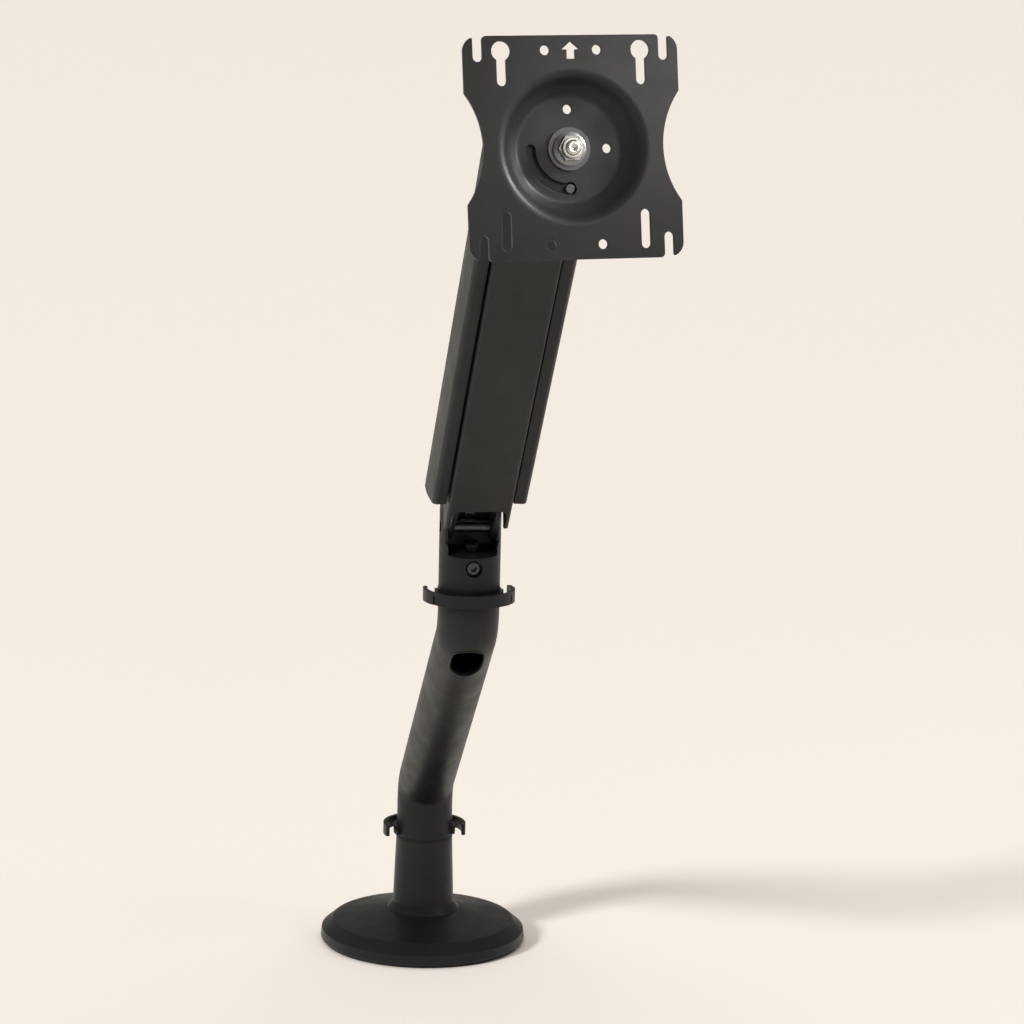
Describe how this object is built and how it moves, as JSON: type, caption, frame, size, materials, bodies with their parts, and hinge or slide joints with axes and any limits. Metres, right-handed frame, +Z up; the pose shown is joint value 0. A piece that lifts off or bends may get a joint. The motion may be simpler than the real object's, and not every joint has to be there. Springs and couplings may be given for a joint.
{
  "type": "desk monitor arm",
  "caption": "Desk-mounted monitor arm: round base, bent swivel tube with cable clips, spring-balanced parallel arm, and a tilting, turning VESA plate.",
  "frame": {"origin": "centre of the base's underside, on the lower swivel axis", "axes": "+Z up along the lower swivel axis; the arm and the plate point along -Y; +X is to the right seen from the front"},
  "size_m": [0.143, 0.5986, 0.6454],
  "materials": {
    "coated_steel": "satin charcoal powder coat",
    "cover_plastic": "fine moulded grain",
    "clip_plastic": "satin",
    "bearing_plastic": "smooth acetal",
    "pad_rubber": "matte",
    "zinc_steel": "zinc plated, turned",
    "black_screw": "black zinc",
    "cylinder_enamel": "gloss black enamel"
  },
  "bodies": {
    "root": {"base_pad": "pad_rubber", "base_disc": "coated_steel", "base_post": "coated_steel", "threaded_insert": "zinc_steel", "lower_spindle": "zinc_steel", "lower_washer": "bearing_plastic"},
    "lower_arm": {"bent_tube": "coated_steel", "lower_bush": "bearing_plastic", "upper_bush": "bearing_plastic"},
    "lower_clip": {"lower_cable_clip": "clip_plastic"},
    "upper_clip": {"upper_cable_clip": "clip_plastic"},
    "head": {"upper_washer": "bearing_plastic", "head_spindle": "zinc_steel", "swivel_head": "coated_steel", "set_screw": "black_screw", "lower_pivot_pin": "zinc_steel", "upper_pivot_pin": "zinc_steel", "spring_pin": "zinc_steel", "tension_screw": "black_screw"},
    "lower_link": {"lower_channel": "coated_steel", "spring_cylinder": "cylinder_enamel", "spring_end_pin": "zinc_steel"},
    "spring_rod": {"spring_rod": "zinc_steel"},
    "upper_link": {"upper_channel": "coated_steel", "left_cover": "cover_plastic", "right_cover": "cover_plastic", "top_cover": "cover_plastic"},
    "knuckle": {"tip_knuckle": "coated_steel", "tip_lower_pin": "zinc_steel", "tip_upper_pin": "zinc_steel"},
    "pan": {"pan_fork": "coated_steel", "pan_pin": "black_screw", "tilt_bolt": "black_screw"},
    "tilt": {"tilt_bracket": "coated_steel", "centre_bolt": "zinc_steel", "limit_pin": "zinc_steel", "friction_washer": "bearing_plastic", "cup_washer": "zinc_steel", "lock_nut": "zinc_steel"},
    "plate": {"vesa_plate": "coated_steel"}
  },
  "joints": [
    {"name": "lower_swivel", "type": "hinge", "parent": "root", "child": "lower_arm", "pos_m": [0, 0, 0.0749], "axis": [0, 0, 1], "continuous": true},
    {"name": "lower_clip_turn", "type": "hinge", "parent": "lower_arm", "child": "lower_clip", "pos_m": [0, 0, 0.078], "axis": [0, 0, 1], "range_deg": [-150, 150]},
    {"name": "upper_clip_turn", "type": "hinge", "parent": "lower_arm", "child": "upper_clip", "pos_m": [-0.0063, -0.2193, 0.29], "axis": [0, 0, 1], "range_deg": [-150, 150]},
    {"name": "head_swivel", "type": "hinge", "parent": "lower_arm", "child": "head", "pos_m": [-0.0063, -0.2193, 0.295], "axis": [0, 0, 1], "range_deg": [-180, 180]},
    {"name": "lift", "type": "hinge", "parent": "head", "child": "lower_link", "pos_m": [-0.0063, -0.2193, 0.334], "axis": [-1, 0, 0], "range_deg": [-58, 4]},
    {"name": "upper_link_turn", "type": "hinge", "parent": "head", "child": "upper_link", "pos_m": [-0.0063, -0.2193, 0.356], "axis": [-1, 0, 0], "range_deg": [-58, 4]},
    {"name": "tip_level", "type": "hinge", "parent": "lower_link", "child": "knuckle", "pos_m": [-0.0063, -0.4361, 0.57478], "axis": [-1, 0, 0], "range_deg": [-4, 58]},
    {"name": "spring_slide", "type": "slide", "parent": "lower_link", "child": "spring_rod", "axis": [0, -0.6916, 0.7223], "range_m": [-0.0134, 0.001]},
    {"name": "pan", "type": "hinge", "parent": "knuckle", "child": "pan", "pos_m": [-0.0063, -0.4621, 0.57478], "axis": [0, 0, 1], "range_deg": [-59.5, 50.5]},
    {"name": "tilt", "type": "hinge", "parent": "pan", "child": "tilt", "pos_m": [-0.0044, -0.48621, 0.58246], "axis": [-0.9969, -0.0785, 0], "range_deg": [-23, 37]},
    {"name": "plate_turn", "type": "hinge", "parent": "tilt", "child": "plate", "pos_m": [-0.00308, -0.50299, 0.58483], "axis": [0.0777, -0.9872, 0.1392], "range_deg": [0, 90]}
  ],
  "couplings": [
    {"joint": "upper_link_turn", "follows": "lift", "ratio": 1},
    {"joint": "tip_level", "follows": "lift", "ratio": -1},
    {"joint": "spring_slide", "follows": "lift", "m_per_rad": 0.01302}
  ]
}
